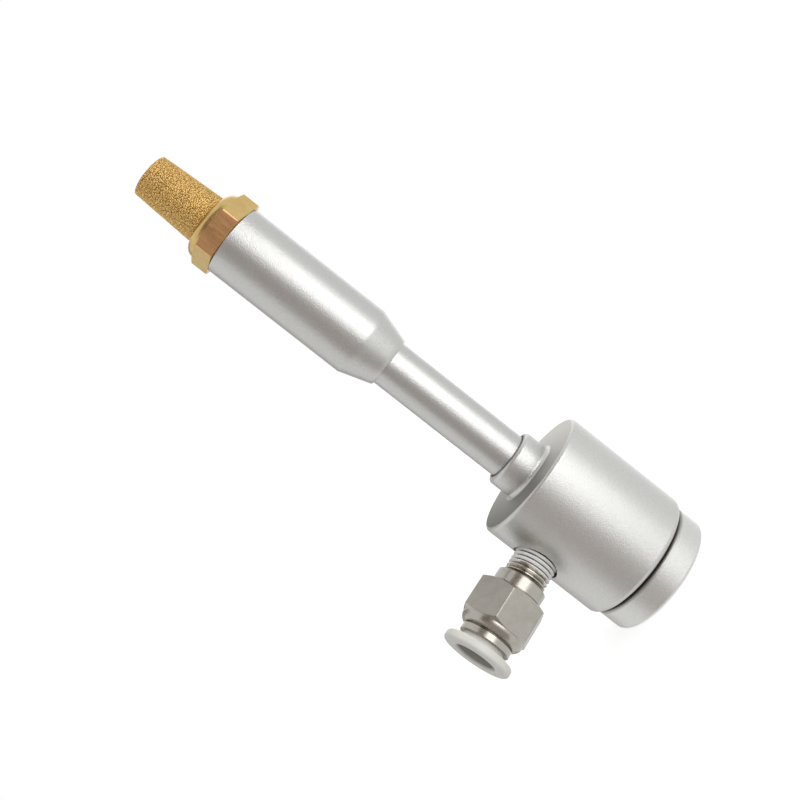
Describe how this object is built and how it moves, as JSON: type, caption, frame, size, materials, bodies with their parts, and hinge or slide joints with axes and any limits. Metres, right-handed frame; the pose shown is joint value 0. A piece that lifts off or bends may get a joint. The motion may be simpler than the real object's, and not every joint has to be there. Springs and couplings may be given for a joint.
{
  "type": "vortex tube",
  "caption": "Slim air-powered cooling tube with a round swirl body, a push-in hose inlet at its side, a screw valve in the hot end and a sintered silencer.",
  "frame": {"origin": "centre of the cold end's flat face, on the tube's axis", "axes": "+Z along the tube from the cold end to the silencer, -X along the inlet fitting"},
  "size_m": [0.0745, 0.042, 0.1911],
  "materials": {
    "satin_aluminium": "fine bead-blasted and clear anodised",
    "hexagon_brass": "drawn hexagon bar, turned shoulder",
    "sintered_bronze": "sintered grains",
    "turned_brass": "turned",
    "nickel_plate": "bright nickel plate",
    "spring_steel": "spring steel strip",
    "pale_plastic": "moulded, satin",
    "black_rubber": "smooth"
  },
  "bodies": {
    "tube_assembly": {"vortex_body": "satin_aluminium", "cold_end_cap": "satin_aluminium", "cap_seal": "black_rubber", "vortex_generator": "turned_brass", "generator_seal": "black_rubber", "hot_tube": "satin_aluminium", "hot_tube_seal": "black_rubber", "hot_end_housing": "satin_aluminium", "housing_seal": "black_rubber", "valve_carrier": "turned_brass", "silencer_body": "hexagon_brass", "silencer_element": "sintered_bronze", "fitting_body": "nickel_plate", "hose_seal": "black_rubber", "seal_spacer": "pale_plastic", "claw_ring": "spring_steel", "retainer_ring": "nickel_plate"},
    "valve_ring": {"valve_seal": "black_rubber"},
    "valve": {"control_valve": "turned_brass"},
    "release": {"release_ring": "pale_plastic"}
  },
  "joints": [
    {"name": "valve_travel", "type": "slide", "parent": "tube_assembly", "child": "valve_ring", "axis": [0, 0, 1], "range_m": [-0.0015, 0.0015]},
    {"name": "valve_turn", "type": "hinge", "parent": "valve_ring", "child": "valve", "pos_m": [0, 0, 0.126], "axis": [0, 0, 1], "range_deg": [-540, 540]},
    {"name": "release_push", "type": "slide", "parent": "tube_assembly", "child": "release", "axis": [1, 0, 0], "range_m": [0, 0.0015], "stiffness_N_per_m": 2000}
  ],
  "couplings": [
    {"joint": "valve_turn", "follows": "valve_travel", "rad_per_m": 6283.2}
  ]
}
